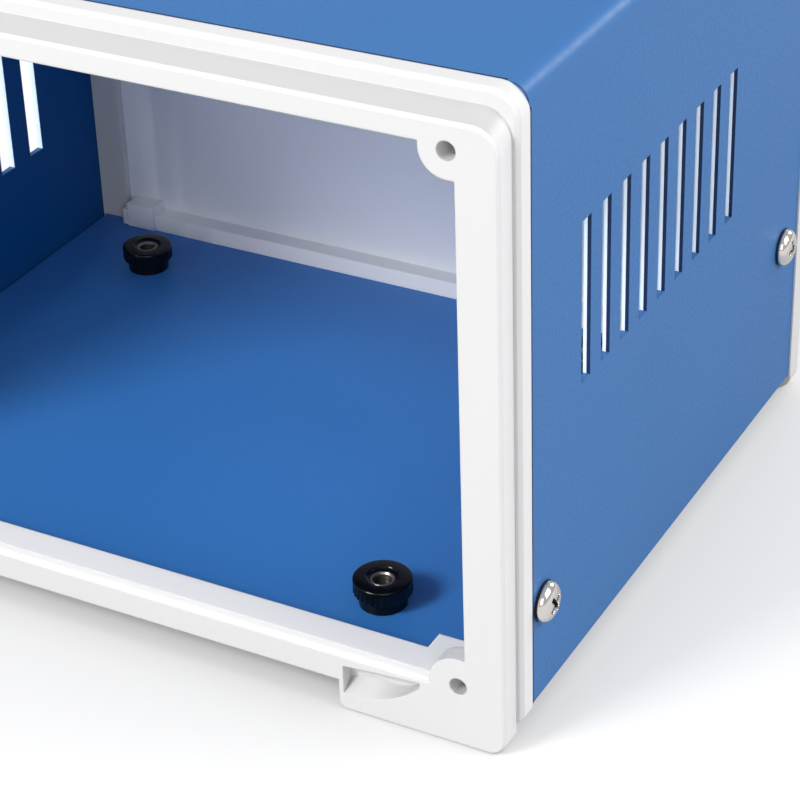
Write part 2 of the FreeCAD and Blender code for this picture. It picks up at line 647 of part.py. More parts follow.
def make_scoop(body, name, sign):
    """Finger recess over the toe of a foot: its floor climbs inward and towards the corner."""
    start, end = value("Places.scoop_start"), value("Places.scoop_end")
    toe = value("Sizes.toe_top")
    span = end - start
    near_floor = [(0.0, 0.0), (0.25, 0.15), (0.5, 0.9), (0.75, 2.6), (1.0, 5.4)]
    far_floor = [(0.0, 1.5), (0.25, 2.9), (0.5, 2.9), (0.75, 3.2), (1.0, 5.6)]
    near = new_sketch(body, name + "_scoop_near", "XZ_Plane")
    draw_recess(near, sign, [(start + span * part, toe + rise) for part, rise in near_floor])
    far = new_sketch(body, name + "_scoop_far", "XZ_Plane", "-Sizes.scoop_depth")
    draw_recess(far, sign, [(start + span * part, toe + rise) for part, rise in far_floor])
    before = body.Shape.Volume
    scoop = body.newObject("PartDesign::SubtractiveLoft", name + "_scoop")
    scoop.Profile = near
    scoop.Sections = [far]
    scoop.Ruled = True
    settle(scoop)
    if body.Shape.Volume > before - 1e-6:
        raise RuntimeError(name + ": the scoop cut nothing")


def make_rear_panel():
    """Flat panel in the rear bezel's rebate."""
    body = new_body("rear_panel")
    outline = new_sketch(body, "panel_outline", "XZ_Plane")
    draw_rectangle(outline, "-Places.panel_half_width", "Places.panel_half_width",
                   "Sizes.panel_low", "Places.panel_high")
    add_pad(body, "panel", outline, "Sizes.panel_thickness", True)
    return body


def revolve_profile(body, name, points):
    """Turns a closed profile of radius and level about the body's Z axis."""
    sketch = new_sketch(body, name + "_profile", "XZ_Plane")
    draw_outline(sketch, points)
    turned = body.newObject("PartDesign::Revolution", name)
    turned.Profile = sketch
    turned.ReferenceAxis = (origin_plane(body, "Z_Axis"), [""])
    turned.Angle = 360
    document.recompute()
    return turned


def make_side_screw(name):
    """Pan head screw; the head's underside is at Z = 0."""
    body = new_body(name)
    revolve_profile(body, name + "_turned", [
        ("0", "-Sizes.screw_reach"),
        ("Sizes.screw_diameter / 2", "-Sizes.screw_reach"),
        ("Sizes.screw_diameter / 2", "0"),
        ("Sizes.screw_head_diameter / 2", "0"),
        ("Sizes.screw_head_diameter / 2", "Sizes.screw_head_height * 0.45"),
        ("Sizes.screw_head_diameter / 2 * 0.62", "Sizes.screw_head_height"),
        ("0", "Sizes.screw_head_height"),
    ])
    return body


def make_thumb_nut(name):
    """Ridged head over a plain collar; the collar's underside is at Z = 0."""
    body = new_body(name)
    collar = new_sketch(body, name + "_collar_outline", "XY_Plane")
    draw_circle(collar, "0", "0", "Sizes.collar_diameter / 2")
    add_pad(body, name + "_collar", collar, "Sizes.collar_height")
    head = new_sketch(body, name + "_head_outline", "XY_Plane", "Sizes.collar_height")
    ridges = []
    for index in range(2 * int(value("Sizes.knurl_count"))):
        reach = "(Sizes.head_diameter / 2%s)" % (" - Sizes.knurl_depth" if index % 2 else "")
        turn = "(%d * 180 deg / Sizes.knurl_count)" % index
        ridges.append(("%s * cos(%s)" % (reach, turn), "%s * sin(%s)" % (reach, turn)))
    draw_outline(head, ridges)
    add_pad(body, name + "_head", head, "Sizes.head_height")
    bore = new_sketch(body, name + "_bore_outline", "XY_Plane", "Sizes.collar_height + Sizes.head_height + 1")
    draw_circle(bore, "0", "0", "Sizes.insert_diameter / 2")
    add_pocket(body, name + "_bore", bore, "Sizes.collar_height + Sizes.head_height + 2")
    return body


def make_insert(name):
    """Bushing in the middle of a thumb nut; its foot is at Z = 0."""
    body = new_body(name)
    ring = new_sketch(body, name + "_outline", "XY_Plane")
    draw_circle(ring, "0", "0", "Sizes.insert_diameter / 2")
    draw_circle(ring, "0", "0", "Sizes.insert_bore / 2")
    add_pad(body, name + "_tube", ring, "Sizes.collar_height + Sizes.head_height - Sizes.insert_drop")
    return body


def make_stud(name):
    """Plain stud welded on the floor plate; its foot is at Z = 0."""
    body = new_body(name)
    disc = new_sketch(body, name + "_outline", "XY_Plane")
    draw_circle(disc, "0", "0", "Sizes.stud_diameter / 2")
    add_pad(body, name + "_shank", disc, "Sizes.collar_height + Sizes.head_height - Sizes.stud_short")
    return body


def place(piece, across, along, up, rotation=None):
    """Puts a piece at three expressions."""
    piece.Placement = Placement(Vector(value(across), value(along), value(up)), rotation or Rotation())
    for axis, expression in (("x", across), ("y", along), ("z", up)):
        piece.setExpression("Placement.Base." + axis, expression)


pieces = []

# Cover and floor plate, in the middle of the depth
cover = make_cover()
place(cover, "0", "0", "Sizes.foot_drop")
floor_plate = make_floor_plate()
place(floor_plate, "0", "0", "Sizes.foot_drop")
pieces += [cover, floor_plate]

# Bezels and the rear panel
end_face = "(Sizes.case_depth / 2 + Sizes.bezel_depth)"
half_turn = Rotation(Vector(0, 0, 1), 180)
front_bezel = make_bezel("front_bezel", False)
place(front_bezel, "0", "-" + end_face, "Sizes.foot_drop")
rear_bezel = make_bezel("rear_bezel", True)
place(rear_bezel, "0", end_face, "Sizes.foot_drop", half_turn)
rear_panel = make_rear_panel()
place(rear_panel, "0", "(%s - Sizes.panel_recess)" % end_face, "Sizes.foot_drop", half_turn)
pieces += [front_bezel, rear_bezel, rear_panel]

# Side screws, through the cover into the front bezel's tongues and the floor plate's ear
for spot, sign, along, level in side_screw_spots():
    screw = make_side_screw("side_screw_" + spot)
    turn = Rotation(Vector(0, 1, 0), 90 * sign)
    place(screw, "%d * Sizes.case_width / 2" % sign, along, "(Sizes.foot_drop + %s)" % level, turn)
    pieces.append(screw)

# Thumb nuts with their bushings and studs
for spot, across, along in nut_places():
    nut = make_thumb_nut("thumb_nut_" + spot)
    place(nut, across, along, "(Sizes.foot_drop + Sizes.sheet_thickness)")
    bushing = make_insert("nut_bushing_" + spot)
    place(bushing, across, along, "(Sizes.foot_drop + Sizes.sheet_thickness)")
    stud = make_stud("floor_stud_" + spot)
    place(stud, across, along, "(Sizes.foot_drop + Sizes.sheet_thickness)")
    pieces += [nut, bushing, stud]

document.recompute()

# Every object must be sound before anything is written
for thing in document.Objects:
    if "Invalid" in thing.State or "Error" in thing.State:
        raise RuntimeError(thing.Name + " failed: " + str(thing.State))
for piece in pieces:
    if piece.Shape.isNull() or not piece.Shape.isValid() or len(piece.Shape.Solids) != 1:
        raise RuntimeError("%s is not one sound solid: %d" % (piece.Label, len(piece.Shape.Solids)))

os.makedirs("parts", exist_ok=True)
for piece in pieces:
    piece.Shape.exportStep(os.path.join("parts", piece.Label + ".step"))
    box = piece.Shape.BoundBox
    print("%-26s %8.2f %8.2f %8.2f  %8.2f %8.2f %8.2f" % (
        piece.Label, box.XMin, box.YMin, box.ZMin, box.XMax, box.YMax, box.ZMax))
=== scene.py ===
import math

import bpy
from mathutils import Matrix, Vector


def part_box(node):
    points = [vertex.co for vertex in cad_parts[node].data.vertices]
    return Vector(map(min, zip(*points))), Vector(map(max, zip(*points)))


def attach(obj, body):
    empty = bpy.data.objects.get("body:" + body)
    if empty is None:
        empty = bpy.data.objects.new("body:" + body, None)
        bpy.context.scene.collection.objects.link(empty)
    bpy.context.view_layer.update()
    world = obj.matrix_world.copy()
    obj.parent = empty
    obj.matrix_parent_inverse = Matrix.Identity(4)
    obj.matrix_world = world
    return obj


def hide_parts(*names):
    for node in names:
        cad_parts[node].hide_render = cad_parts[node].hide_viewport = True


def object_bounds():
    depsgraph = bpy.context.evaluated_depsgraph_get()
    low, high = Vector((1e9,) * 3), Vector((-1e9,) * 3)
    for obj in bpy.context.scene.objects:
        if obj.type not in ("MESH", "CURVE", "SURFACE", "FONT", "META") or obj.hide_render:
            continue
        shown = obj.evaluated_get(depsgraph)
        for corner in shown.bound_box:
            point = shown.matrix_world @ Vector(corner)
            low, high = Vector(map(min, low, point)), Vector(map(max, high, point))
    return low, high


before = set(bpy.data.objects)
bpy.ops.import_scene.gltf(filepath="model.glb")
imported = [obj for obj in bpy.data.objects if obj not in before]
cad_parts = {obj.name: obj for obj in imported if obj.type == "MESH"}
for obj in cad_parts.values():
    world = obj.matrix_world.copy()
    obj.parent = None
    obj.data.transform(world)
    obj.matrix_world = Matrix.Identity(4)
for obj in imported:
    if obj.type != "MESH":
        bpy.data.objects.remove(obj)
cad_low, cad_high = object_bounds()
scene = bpy.context.scene
MM = 0.001

# Painted shade and highlight on the cover: how far each reaches, and its colour
JOINT_SHADE_WIDTH = 1.00 * MM
CORNER_SHADE_WIDTH = 0.25 * MM
CORNER_REACH = 3.4 * MM
SHEET_SEEN = 1.1 * MM
CUT_SHADE_DEPTH = 0.62 * MM
INNER_WALL_SHADE = (0.004, 0.085, 0.285)
CUT_FACE_HIGHLIGHT = (0.76, 0.89, 1.0)
PAINTED_SHADE_DARK = (0.001, 0.015, 0.075)
COAT_SPECULAR = 0.32
WALL_SPECULAR = 0.08

# Painted shade and light on the bezels: the levels and ends of their ledges, and their colours
LIP_LOW = 10.15 * MM
LIP_HIGH = 12.5 * MM
LEDGE_BACK = 57.5 * MM
LEDGE_END = 70.0 * MM
WHITE_DARK = (0.615, 0.615, 0.62)
WHITE_LIGHT = (0.645, 0.645, 0.65)
SLOPE_PAINTED_SHADE = (0.48, 0.48, 0.485)
SIDE_PAINTED_LIGHT = (0.70, 0.70, 0.71)
LIP_PAINTED_LIGHT = (0.88, 0.88, 0.89)
LEDGE_PAINTED_LIGHT = (0.90, 0.90, 0.91)

# Parts of a normal along an axis, over which a face counts as facing it
FACING = 0.7
LEVEL = 0.95

# Camera, fitted to the straight edges of the photographed case
CAMERA_PLACE = Vector((0.215, -0.3395, 0.2515))
CAMERA_AZIMUTH = math.radians(-29.2)
CAMERA_ELEVATION = math.radians(-31.1)
CAMERA_ROLL = math.radians(-2.03)
CAMERA_LENS = 114.48


# Materials
def new_material(name):
    """Empty node material with a principled shader."""
    material = bpy.data.materials.new(name)
    material.use_nodes = True
    nodes = material.node_tree.nodes
    nodes.clear()
    output = nodes.new("ShaderNodeOutputMaterial")
    shader = nodes.new("ShaderNodeBsdfPrincipled")
    material.node_tree.links.new(shader.outputs["BSDF"], output.inputs["Surface"])
    return material, shader


def add_noise(material, scale, detail):
    """Noise in the frame's own metres."""
    nodes, links = material.node_tree.nodes, material.node_tree.links
    place = nodes.new("ShaderNodeTexCoord")
    noise = nodes.new("ShaderNodeTexNoise")
    noise.inputs["Scale"].default_value = scale
    noise.inputs["Detail"].default_value = detail
    links.new(place.outputs["Object"], noise.inputs["Vector"])
    return noise.outputs["Fac"]


def add_range(material, source, low, high):
    """Stretches a factor to a range."""
    ramp = material.node_tree.nodes.new("ShaderNodeMapRange")
    ramp.inputs["From Min"].default_value = 0.3
    ramp.inputs["From Max"].default_value = 0.7
    ramp.inputs["To Min"].default_value = low
    ramp.inputs["To Max"].default_value = high
    material.node_tree.links.new(source, ramp.inputs["Value"])
    return ramp.outputs["Result"]


def add_rise(material, source, low, high):
    """Factor that rises smoothly from 0 to 1 between two values."""
    ramp = material.node_tree.nodes.new("ShaderNodeMapRange")
    ramp.interpolation_type = "SMOOTHSTEP"
    ramp.inputs["From Min"].default_value = low
    ramp.inputs["From Max"].default_value = high
    material.node_tree.links.new(source, ramp.inputs["Value"])
    return ramp.outputs["Result"]


def add_bump(material, shader, height, distance, strength, edge_radius=0.0):
    """Bump from a height factor, over edges rounded by a small radius."""
    nodes, links = material.node_tree.nodes, material.node_tree.links
    bump = nodes.new("ShaderNodeBump")
    bump.inputs["Strength"].default_value = strength
    bump.inputs["Distance"].default_value = distance
    links.new(height, bump.inputs["Height"])
    if edge_radius > 0.0:
        bevel = nodes.new("ShaderNodeBevel")
        bevel.samples = 6
        bevel.inputs["Radius"].default_value = edge_radius
        links.new(bevel.outputs["Normal"], bump.inputs["Normal"])
    links.new(bump.outputs["Normal"], shader.inputs["Normal"])


def add_tint(material, shader, source, dark, light):
    """Base colour that drifts between two tones."""
    nodes, links = material.node_tree.nodes, material.node_tree.links
    mix = nodes.new("ShaderNodeMix")
    mix.data_type = "RGBA"
    mix.inputs["A"].default_value = (*dark, 1.0)
    mix.inputs["B"].default_value = (*light, 1.0)
    links.new(source, mix.inputs["Factor"])
    links.new(mix.outputs["Result"], shader.inputs["Base Color"])


def add_math(material, operation, first, second):
    """Math node of one socket and a socket or a number."""
    node = material.node_tree.nodes.new("ShaderNodeMath")
    node.operation = operation
    material.node_tree.links.new(first, node.inputs[0])
    if isinstance(second, (int, float)):
        node.inputs[1].default_value = second
    else:
        material.node_tree.links.new(second, node.inputs[1])
    return node.outputs["Value"]


def add_size(material, source):
    """Size of a value without its sign."""
    return add_math(material, "ABSOLUTE", source, 0.0)


def add_band(material, source, low, high):
    """Factor that is 1 between two values and 0 elsewhere."""
    inside = add_math(material, "COMPARE", source, (low + high) / 2.0)
    inside.node.inputs[2].default_value = (high - low) / 2.0
    return inside


def split_vector(material, node_kind, output):
    """Components of a vector output."""
    nodes, links = material.node_tree.nodes, material.node_tree.links
    source = nodes.new(node_kind)
    split = nodes.new("ShaderNodeSeparateXYZ")
    links.new(source.outputs[output], split.inputs["Vector"])
    return split.outputs


def mix_into_base(material, shader, factor, colour):
    """Mixes a colour over the shader's linked base colour."""
    nodes, links = material.node_tree.nodes, material.node_tree.links
    mix = nodes.new("ShaderNodeMix")
    mix.data_type = "RGBA"
    links.new(shader.inputs["Base Color"].links[0].from_socket, mix.inputs["A"])
    mix.inputs["B"].default_value = (*colour, 1.0)
    links.new(factor, mix.inputs["Factor"])
    links.new(mix.outputs["Result"], shader.inputs["Base Color"])


def shade_cover(material, shader, low, high):
    """Painted shade and duller sheen on the inner walls, painted highlight on the cut faces, painted shade
    on their outer half on the right, painted shadow line at the bezel joint.
    """
    place = split_vector(material, "ShaderNodeTexCoord", "Object")
    normal = split_vector(material, "ShaderNodeNewGeometry", "True Normal")
    across = add_size(material, place["X"])
    sideways = add_math(material, "GREATER_THAN", add_size(material, normal["X"]), FACING)
    within = add_math(material, "LESS_THAN", across, high.x - SHEET_SEEN)
    inner_wall = add_math(material, "MULTIPLY", sideways, within)
    # Painted shade: the inner walls are tinted a darker blue
    mix_into_base(material, shader, inner_wall, INNER_WALL_SHADE)
    dulled = add_math(material, "MULTIPLY", inner_wall, WALL_SPECULAR - COAT_SPECULAR)
    material.node_tree.links.new(
        add_math(material, "ADD", dulled, COAT_SPECULAR), shader.inputs["Specular IOR Level"])
    past_joint = add_math(material, "GREATER_THAN", place["Y"], low.y + CORNER_SHADE_WIDTH)
    lengthways = add_math(material, "GREATER_THAN", add_size(material, normal["Y"]), FACING)
    cut = add_math(material, "MULTIPLY", lengthways, past_joint)
    # Painted highlight: the cut faces of the slots and sheet ends are tinted pale
    mix_into_base(material, shader, cut, CUT_FACE_HIGHLIGHT)
    # Painted shade: the outer half of the right side's cut faces is darkened
    outer = add_math(material, "GREATER_THAN", place["X"], high.x - CUT_SHADE_DEPTH)
    # Painted shadow line along the cover's front edge at the bezel joint, narrower at the corners
    near_side = add_math(material, "GREATER_THAN", across, high.x - CORNER_REACH)
    near_top = add_math(material, "GREATER_THAN", place["Z"], high.z - CORNER_REACH)
    corner = add_math(material, "MULTIPLY", near_side, near_top)
    narrowed = add_math(material, "MULTIPLY", corner, JOINT_SHADE_WIDTH - CORNER_SHADE_WIDTH)
    behind = add_math(material, "ADD", place["Y"], narrowed)
    joint = add_math(material, "LESS_THAN", behind, low.y + JOINT_SHADE_WIDTH)
    on_skin = add_math(material, "SUBTRACT", joint, lengthways)
    shaded = add_math(material, "MAXIMUM", add_math(material, "MULTIPLY", cut, outer), on_skin)
    mix_into_base(material, shader, shaded, PAINTED_SHADE_DARK)


def make_powder_coat(name, dark, light, cover_box=None):
    """Blue powder coat with a fine orange-peel texture."""
    material, shader = new_material(name)
    grain = add_noise(material, 1500.0, 2.0)
    drift = add_noise(material, 30.0, 2.0)
    add_tint(material, shader, drift, dark, light)
    shader.inputs["Specular IOR Level"].default_value = COAT_SPECULAR
    if cover_box is not None:
        shade_cover(material, shader, cover_box[0], cover_box[1])
    material.node_tree.links.new(add_range(material, grain, 0.40, 0.55), shader.inputs["Roughness"])
    add_bump(material, shader, grain, 0.00005, 0.40, 0.00025)
    return material


def shade_front_bezel(material, shader):
    """Painted shade on the forward slope and toe recess, painted light on the sides and lip."""
    place = split_vector(material, "ShaderNodeTexCoord", "Object")
    normal = split_vector(material, "ShaderNodeNewGeometry", "Normal")
    # Painted shade: the forward slope and the upward faces below the lip are tinted grey
    forward = add_band(material, normal["Y"], -0.42, -0.02)
    slope = add_math(material, "MULTIPLY", forward, add_rise(material, normal["Z"], 0.15, 0.90))
    below_lip = add_math(material, "LESS_THAN", place["Z"], LIP_LOW)
    rising = add_math(material, "GREATER_THAN", normal["Z"], 0.20)
    greyer = add_math(material, "MAXIMUM", slope, add_math(material, "MULTIPLY", below_lip, rising))
    mix_into_base(material, shader, greyer, SLOPE_PAINTED_SHADE)
    # Painted light: faces turned sideways are tinted lighter
    sidewards = add_rise(material, add_size(material, normal["X"]), 0.50, LEVEL)
    mix_into_base(material, shader, sidewards, SIDE_PAINTED_LIGHT)
    # Painted light: the level top of the lip is tinted lighter
    level = add_math(material, "GREATER_THAN", normal["Z"], LEVEL)
    at_lip = add_band(material, place["Z"], LIP_LOW, LIP_HIGH)
    mix_into_base(material, shader, add_math(material, "MULTIPLY", level, at_lip), LIP_PAINTED_LIGHT)


def shade_rear_bezel(material, shader):
    """Painted light on the inner ledge along the floor."""
    place = split_vector(material, "ShaderNodeTexCoord", "Object")
    low = add_math(material, "LESS_THAN", place["Z"], LIP_HIGH)
    inner = add_math(material, "LESS_THAN", place["Y"], LEDGE_BACK)
    across = add_size(material, place["X"])
    between = add_math(material, "MULTIPLY", inner, add_math(material, "LESS_THAN", across, LEDGE_END))
    # Painted light: the low inner ledge is tinted lighter
    mix_into_base(material, shader, add_math(material, "MULTIPLY", low, between), LEDGE_PAINTED_LIGHT)


def make_moulded_plastic(name, dark, light, roughness, shade=None):
    """Satin moulded plastic with a faint grain."""
    material, shader = new_material(name)
    grain = add_noise(material, 2600.0, 2.0)
    drift = add_noise(material, 22.0, 2.0)
    add_tint(material, shader, drift, dark, light)
    if shade is not None:
        shade(material, shader)
    material.node_tree.links.new(
        add_range(material, grain, roughness - 0.05, roughness + 0.06), shader.inputs["Roughness"])
    shader.inputs["Specular IOR Level"].default_value = 0.4
    add_bump(material, shader, grain, 0.00002, 0.35, 0.0004)
    return material


def make_nickel():
    """Bright plated screw metal with fine turning marks."""
    material, shader = new_material("nickel_plate")
    grain = add_noise(material, 900.0, 2.0)
    add_tint(material, shader, grain, (0.83, 0.78, 0.74), (0.88, 0.84, 0.80))
    shader.inputs["Metallic"].default_value = 1.0
    material.node_tree.links.new(add_range(material, grain, 0.10, 0.16), shader.inputs["Roughness"])
    add_bump(material, shader, grain, 0.000003, 0.25)
    return material


def make_recess_shade():
    """Painted shade: dark metal down in a screw's cross recess and round the head's lower rim."""
    material, shader = new_material("recess_shade")
    grain = add_noise(material, 1800.0, 3.0)
    add_tint(material, shader, grain, (0.020, 0.016, 0.013), (0.050, 0.040, 0.032))
    shader.inputs["Metallic"].default_value = 0.6
    material.node_tree.links.new(add_range(material, grain, 0.40, 0.55), shader.inputs["Roughness"])
    add_bump(material, shader, grain, 0.00001, 0.4)
    return material


def make_black_plastic():
    """Glossy black plastic of the thumb nuts."""
    material, shader = new_material("gloss_black")
    grain = add_noise(material, 900.0, 2.0)
    add_tint(material, shader, grain, (0.0015, 0.0015, 0.002), (0.003, 0.003, 0.0035))
    shader.inputs["Specular IOR Level"].default_value = 0.30
    material.node_tree.links.new(add_range(material, grain, 0.12, 0.20), shader.inputs["Roughness"])
    add_bump(material, shader, grain, 0.000005, 0.3)
    return material


def make_turned_steel(name, dark, light, roughness):
    """Turned steel of the bushings and studs."""
    material, shader = new_material(name)
    grain = add_noise(material, 2200.0, 3.0)
    add_tint(material, shader, grain, dark, light)
    shader.inputs["Metallic"].default_value = 1.0
    material.node_tree.links.new(
        add_range(material, grain, roughness - 0.06, roughness + 0.08), shader.inputs["Roughness"])
    add_bump(material, shader, grain, 0.00001, 0.5)
    return material


finishes = {
    "cover_coat": make_powder_coat("cover_coat", (0.030, 0.132, 0.352), (0.036, 0.144, 0.376),
                                   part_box("case_cover")),
    "plate_coat": make_powder_coat("plate_coat", (0.036, 0.190, 0.545), (0.042, 0.205, 0.575)),
    "front_plastic": make_moulded_plastic("front_plastic", WHITE_DARK, WHITE_LIGHT, 0.42, shade_front_bezel),
    "rear_plastic": make_moulded_plastic("rear_plastic", WHITE_DARK, WHITE_LIGHT, 0.42, shade_rear_bezel),
    "panel_plastic": make_moulded_plastic("panel_plastic", (0.76, 0.79, 0.86), (0.79, 0.82, 0.89), 0.45),
    "nickel": make_nickel(),
    "recess": make_recess_shade(),
    "black": make_black_plastic(),
    "bushing": make_turned_steel("bushing_metal", (0.30, 0.27, 0.24), (0.42, 0.38, 0.34), 0.34),
    "stud": make_turned_steel("stud_metal", (0.05, 0.05, 0.05), (0.09, 0.09, 0.09), 0.45),
}


def finish_for(node):
    """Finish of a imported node, from its name."""
    if node == "case_cover":
        return finishes["cover_coat"]
    if node == "floor_plate":
        return finishes["plate_coat"]
    if node == "front_bezel":
        return finishes["front_plastic"]
    if node == "rear_bezel":
        return finishes["rear_plastic"]
    if node == "rear_panel":
        return finishes["panel_plastic"]
    if node.startswith("thumb_nut"):
        return finishes["black"]
    if node.startswith("nut_bushing"):
        return finishes["bushing"]
    if node.startswith("floor_stud"):
        return finishes["stud"]
    return finishes["nickel"]


for node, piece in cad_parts.items():
    for material_slot in piece.material_slots:
        material_slot.material = finish_for(node)


# Finer forms of the small turned pieces
def make_mesh(name, rings, closed_ends, material):
    """Skin over rings of equally many points, its first and last ring closed or joined."""
    points = [point for ring in rings for point in ring]
    count = len(rings[0])
    faces = []
    last = len(rings) if not closed_ends else len(rings) - 1
    for level in range(last):
        for index in range(count):
            following = (index + 1) % count
            above = (level + 1) % len(rings)
            faces.append((level * count + index, level * count + following,
                          above * count + following, above * count + index))
    if closed_ends:
        faces.append(tuple(reversed(range(count))))
        faces.append(tuple(range((len(rings) - 1) * count, len(rings) * count)))
    mesh = bpy.data.meshes.new(name)
    mesh.from_pydata(points, [], faces)
    mesh.validate()
    mesh.shade_smooth()
    mesh.set_sharp_from_angle(angle=math.radians(32.0))
    mesh.materials.append(material)
    made = bpy.data.objects.new(name, mesh)
    scene.collection.objects.link(made)
    return made


def ring_of(radius_at, height_at, count):
    """Ring of points whose radius and height follow the angle."""
    ring = []
    for index in range(count):
        angle = 2.0 * math.pi * index / count
        radius = radius_at(angle)
        ring.append((radius * math.cos(angle), radius * math.sin(angle), height_at(angle, radius)))
    return ring


def plain_ring(radius, height, count):
    """Round level ring."""
    return ring_of(lambda angle: radius, lambda angle, r: height, count)


def middle(node):
    """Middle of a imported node's box."""
    low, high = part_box(node)
    return (low + high) / 2.0


def smooth_step(low, high, number):
    """Smooth rise from 0 to 1 between two numbers."""
    part = min(1.0, max(0.0, (number - low) / (high - low)))
    return part * part * (3.0 - 2.0 * part)


SHANK_RADIUS = 1.5 * MM
RECESS_HALF_LENGTH = 1.75 * MM
RECESS_HALF_WIDTH = 0.42 * MM
RECESS_DEPTH = 1.25 * MM
RECESS_WALL = 0.16 * MM
RECESS_SHADE_FROM = 0.20 * MM


def cross_depth(across, along):
    """Depth of the cross recess at a point of the head."""
    deepest = 0.0
    for one, other in ((across, along), (along, across)):
        side = 1.0 - smooth_step(RECESS_HALF_WIDTH - RECESS_WALL, RECESS_HALF_WIDTH, abs(other))
        end = 1.0 - smooth_step(RECESS_HALF_LENGTH - RECESS_WALL, RECESS_HALF_LENGTH, abs(one))
        slope = 1.0 - 0.55 * min(1.0, abs(one) / RECESS_HALF_LENGTH)
        deepest = max(deepest, side * end * slope)
    return RECESS_DEPTH * deepest


def make_side_screw(node, sign, turn):
    """Pan head screw with a cross recess, in place of a packed screw."""
    low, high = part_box(node)
    head = (high.y - low.y) / 2.0
    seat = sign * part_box("case_cover")[1].x
    rise = high.x - seat if sign > 0 else seat - low.x
    reach = (high.x - low.x) - rise
    count = 96
    rings = [plain_ring(SHANK_RADIUS, -reach, count), plain_ring(SHANK_RADIUS, 0.0, count)]
    rings.append(plain_ring(head - 0.1 * MM, 0.0, count))
    rim = 0.30 * rise

    def dome(radius):
        part = min(1.0, radius / head)
        return rim + (rise - rim) * (1.0 - part ** 3.4) ** 0.62

    rings.append(plain_ring(head, 0.06 * MM, count))
    rings.append(plain_ring(head, rim * 0.8, count))
    steps = 40
    for step in range(steps):
        radius = head * (1.0 - step / steps) * 0.998
        rings.append(ring_of(
            lambda angle: radius,
            lambda angle, r: dome(r) - cross_depth(r * math.cos(angle), r * math.sin(angle)), count))
    made = make_mesh(node + "_form", rings, True, finishes["nickel"])
    made.data.materials.append(finishes["recess"])
    # Painted shade: the deep part of the cross and the head's lower rim take the dark recess finish
    for face in made.data.polygons:
        centre = face.center
        in_cross = centre.z > 0.0 and cross_depth(centre.x, centre.y) > RECESS_SHADE_FROM
        on_rim = 0.0 <= centre.z < 0.75 * rim
        if in_cross or on_rim:
            face.material_index = 1
    place = middle(node)
    made.matrix_world = (Matrix.Translation((seat, place.y, place.z))
                         @ Matrix.Rotation(sign * math.radians(90.0), 4, "Y")
                         @ Matrix.Rotation(turn, 4, "Z"))
    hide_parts(node)
    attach(made, "root")
    return made


KNURL_COUNT = 30
KNURL_DEPTH = 0.24 * MM
RIM_HEIGHT = 0.85 * MM
RIM_ROUND = 0.40 * MM
COLLAR_HEIGHT = 2.2 * MM
COLLAR_RADIUS = 4.1 * MM
DISH_RADIUS = 2.75 * MM
DISH_DEPTH = 0.4 * MM


def make_thumb_nut(node):
    """Knurled thumb nut with a dished top, in place of a packed one."""
    low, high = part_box(node)
    head = (high.x - low.x) / 2.0
    total = high.z - low.z
    bore_low, bore_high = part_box(node.replace("thumb_nut", "nut_bushing"))
    bore = (bore_high.x - bore_low.x) / 2.0
    count = KNURL_COUNT * 12

    def knurled(outer):
        return lambda angle: outer - KNURL_DEPTH * (0.5 - 0.5 * math.cos(KNURL_COUNT * angle)) ** 1.6

    def level(height):
        return lambda angle, radius: height

    rings = [
        plain_ring(bore, 0.0, count),
        plain_ring(COLLAR_RADIUS - 0.12 * MM, 0.0, count),
        plain_ring(COLLAR_RADIUS, 0.12 * MM, count),
        plain_ring(COLLAR_RADIUS, COLLAR_HEIGHT, count),
        plain_ring(head - KNURL_DEPTH - 0.1 * MM, COLLAR_HEIGHT, count),
        ring_of(knurled(head), level(COLLAR_HEIGHT + 0.3 * MM), count),
        ring_of(knurled(head), level(total - RIM_HEIGHT), count),
        plain_ring(head, total - RIM_HEIGHT + 0.12 * MM, count),
        plain_ring(head, total - RIM_ROUND, count),
        plain_ring(head - 0.12 * RIM_ROUND, total - 0.5 * RIM_ROUND, count),
        plain_ring(head - 0.45 * RIM_ROUND, total - 0.15 * RIM_ROUND, count),
        plain_ring(head - RIM_ROUND, total, count),
        plain_ring(DISH_RADIUS + 0.1 * MM, total, count),
        plain_ring(DISH_RADIUS - 0.1 * MM, total - DISH_DEPTH * 0.6, count),
        plain_ring(DISH_RADIUS - 0.5 * MM, total - DISH_DEPTH, count),
        plain_ring(bore, total - DISH_DEPTH, count),
    ]
    made = make_mesh(node + "_form", rings, False, finishes["black"])
    place = middle(node)
    made.matrix_world = Matrix.Translation((place.x, place.y, low.z))
    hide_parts(node)
    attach(made, "root")
    return made


def make_bushing(node):
    """Bushing with a countersunk mouth, in place of a packed one."""
    low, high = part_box(node)
    stud_low, stud_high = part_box(node.replace("nut_bushing", "floor_stud"))
    outer = (high.x - low.x) / 2.0
    inner = (stud_high.x - stud_low.x) / 2.0 + 0.05 * MM
    total = high.z - low.z
    count = 72
    rings = [
        plain_ring(inner, 0.0, count),
        plain_ring(outer, 0.0, count),
        plain_ring(outer, total - 0.08 * MM, count),
        plain_ring(outer - 0.08 * MM, total, count),
        plain_ring(inner + 0.22 * MM, total, count),
        plain_ring(inner, total - 0.25 * MM, count),
    ]
    made = make_mesh(node + "_form", rings, False, finishes["bushing"])
    place = middle(node)
    made.matrix_world = Matrix.Translation((place.x, place.y, low.z))
    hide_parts(node)
    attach(made, "root")
    return made


SCREW_TURNS = {
    "side_screw_front_right": 38.0,
    "side_screw_rear_right": 12.0,
    "side_screw_front_left": 71.0,
}
for node in sorted(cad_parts):
    if node.startswith("side_screw"):
        make_side_screw(node, 1.0 if node.endswith("right") else -1.0, math.radians(SCREW_TURNS[node]))
    elif node.startswith("thumb_nut"):
        make_thumb_nut(node)
    elif node.startswith("nut_bushing"):
        make_bushing(node)


# Stage: a pale floor that reads white to the camera
FLOOR_REACH = 6.0
FLOOR_GLOW = 0.455
FLOOR_GLOW_MIRRORED = 0.3
FLOOR_SHADE_REACH = 0.09
FLOOR_SHADE_POWER = 0.40


